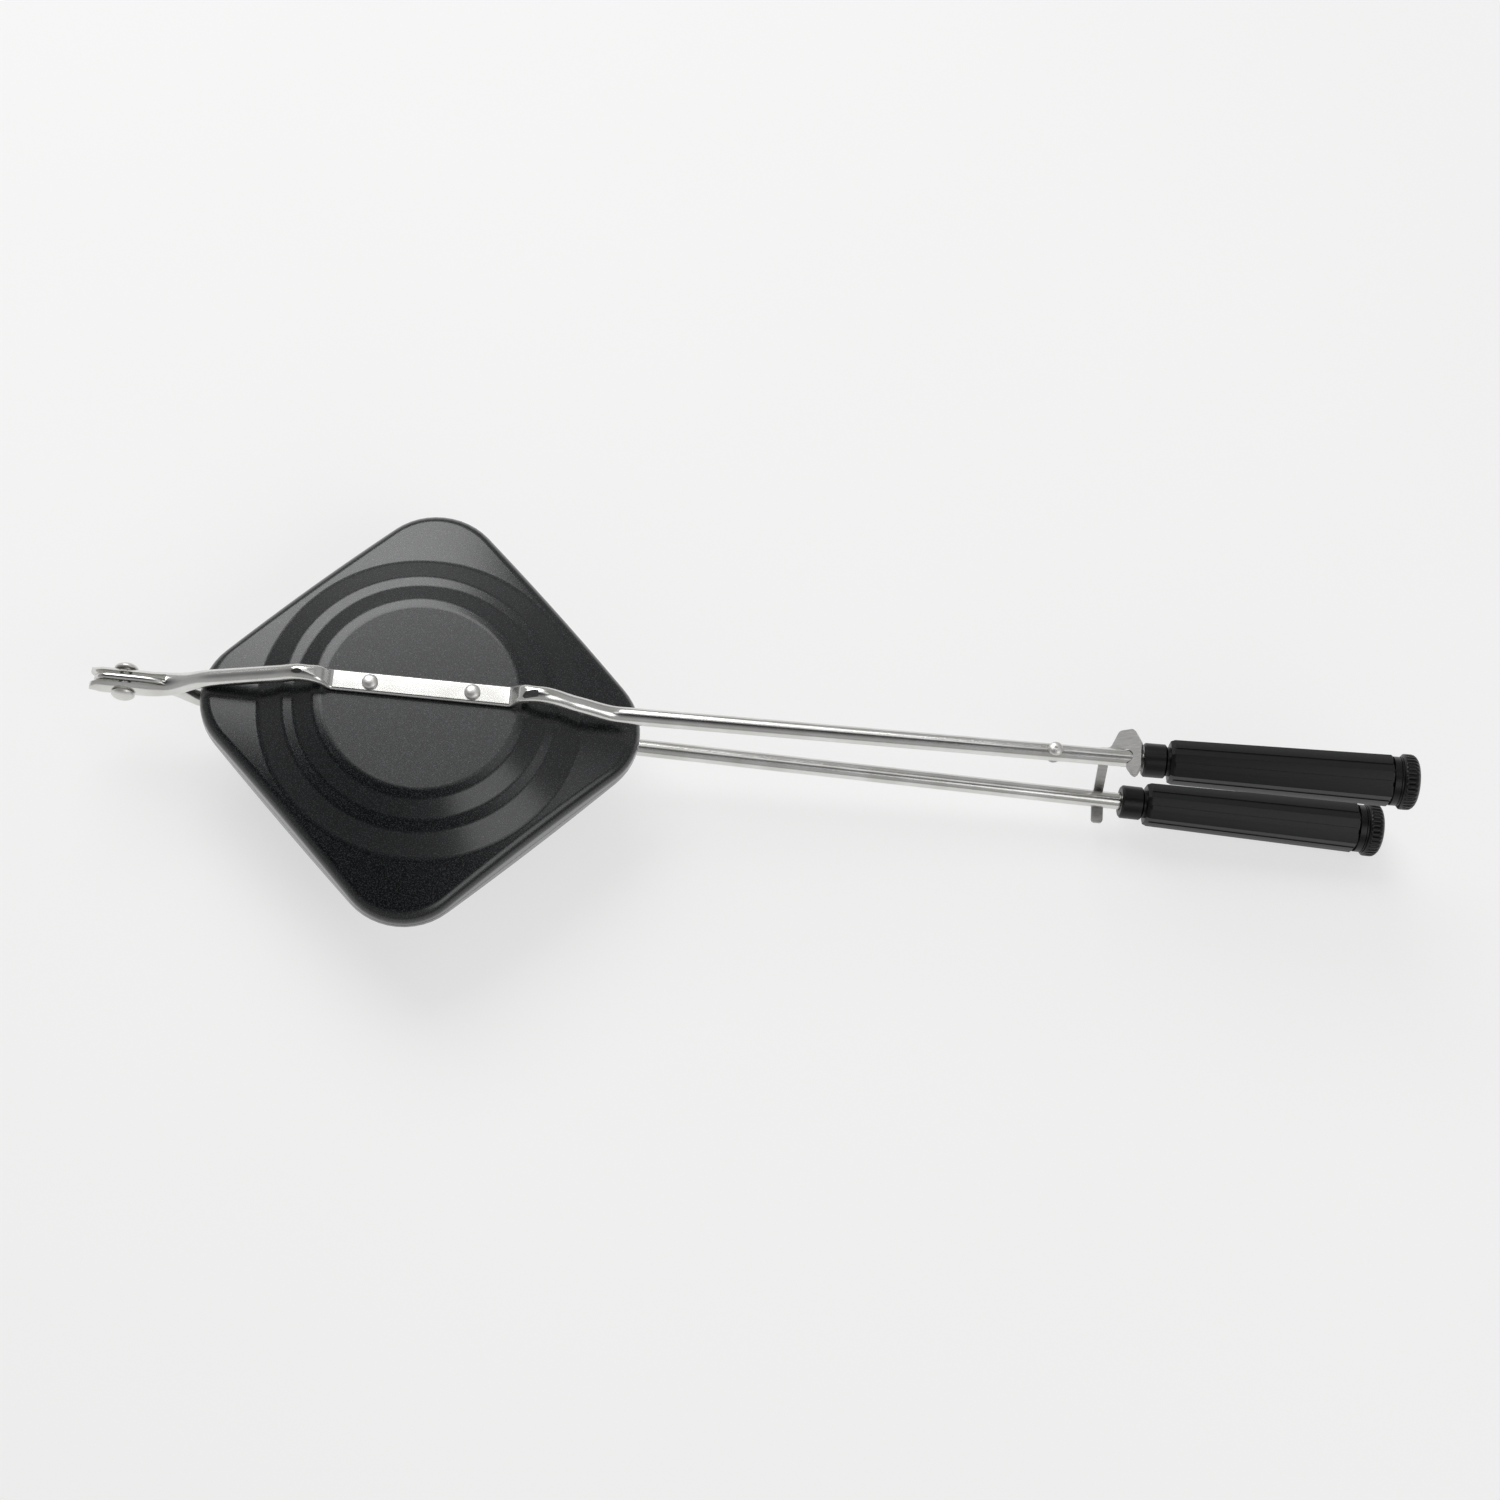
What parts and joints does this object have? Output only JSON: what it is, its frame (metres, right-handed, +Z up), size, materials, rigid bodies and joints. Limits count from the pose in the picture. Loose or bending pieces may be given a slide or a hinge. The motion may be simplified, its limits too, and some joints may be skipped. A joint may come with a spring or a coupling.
{
  "type": "sandwich toaster",
  "caption": "Stovetop sandwich toaster: square dark non-stick pans hinged face to face on plated tube arms with black ribbed grips and a sheet-metal latch.",
  "frame": {"origin": "middle of the lower arm's flat strip below the pans' centre line, on the strip's underside, the face that lies on the stove", "axes": "+X along the arms from the pans to the grips, +Z up from the rest face through both pans, +Y across, to the side of the latch's leg"},
  "size_m": [0.552, 0.183, 0.0801],
  "materials": {
    "non_stick_coat": "dark grey speckled non-stick coating, semi-matte",
    "plated_tube": "bright plated steel tube",
    "rivet_steel": "bright steel, satin",
    "screw_steel": "zinc-plated steel",
    "latch_steel": "bright sheet steel, cut edges",
    "black_moulding": "black heat-resistant moulding, fine grain"
  },
  "bodies": {
    "lower_half": {"lower_pan": "non_stick_coat", "lower_arm": "plated_tube", "lower_pan_rivet_1": "rivet_steel", "lower_pan_rivet_2": "rivet_steel", "hinge_rivet": "rivet_steel", "lower_grip": "black_moulding", "lower_grip_cap": "black_moulding", "lower_cap_screw": "screw_steel", "lower_tube_plug": "screw_steel"},
    "upper_half": {"upper_pan": "non_stick_coat", "upper_arm": "plated_tube", "upper_pan_rivet_1": "rivet_steel", "upper_pan_rivet_2": "rivet_steel", "upper_grip": "black_moulding", "upper_grip_cap": "black_moulding", "upper_cap_screw": "screw_steel", "upper_tube_plug": "screw_steel", "latch_stop_rivet": "rivet_steel"},
    "latch": {"latch": "latch_steel"}
  },
  "joints": [
    {"name": "arm_hinge", "type": "hinge", "parent": "lower_half", "child": "upper_half", "pos_m": [-0.12334, 0.003, 0.02547], "axis": [0, -1, 0], "range_deg": [0, 180]},
    {"name": "latch_swing", "type": "hinge", "parent": "upper_half", "child": "latch", "pos_m": [0.29081, 0.003, 0.0496], "axis": [0.9993, 0, 0.0368], "range_deg": [0, 180]}
  ]
}
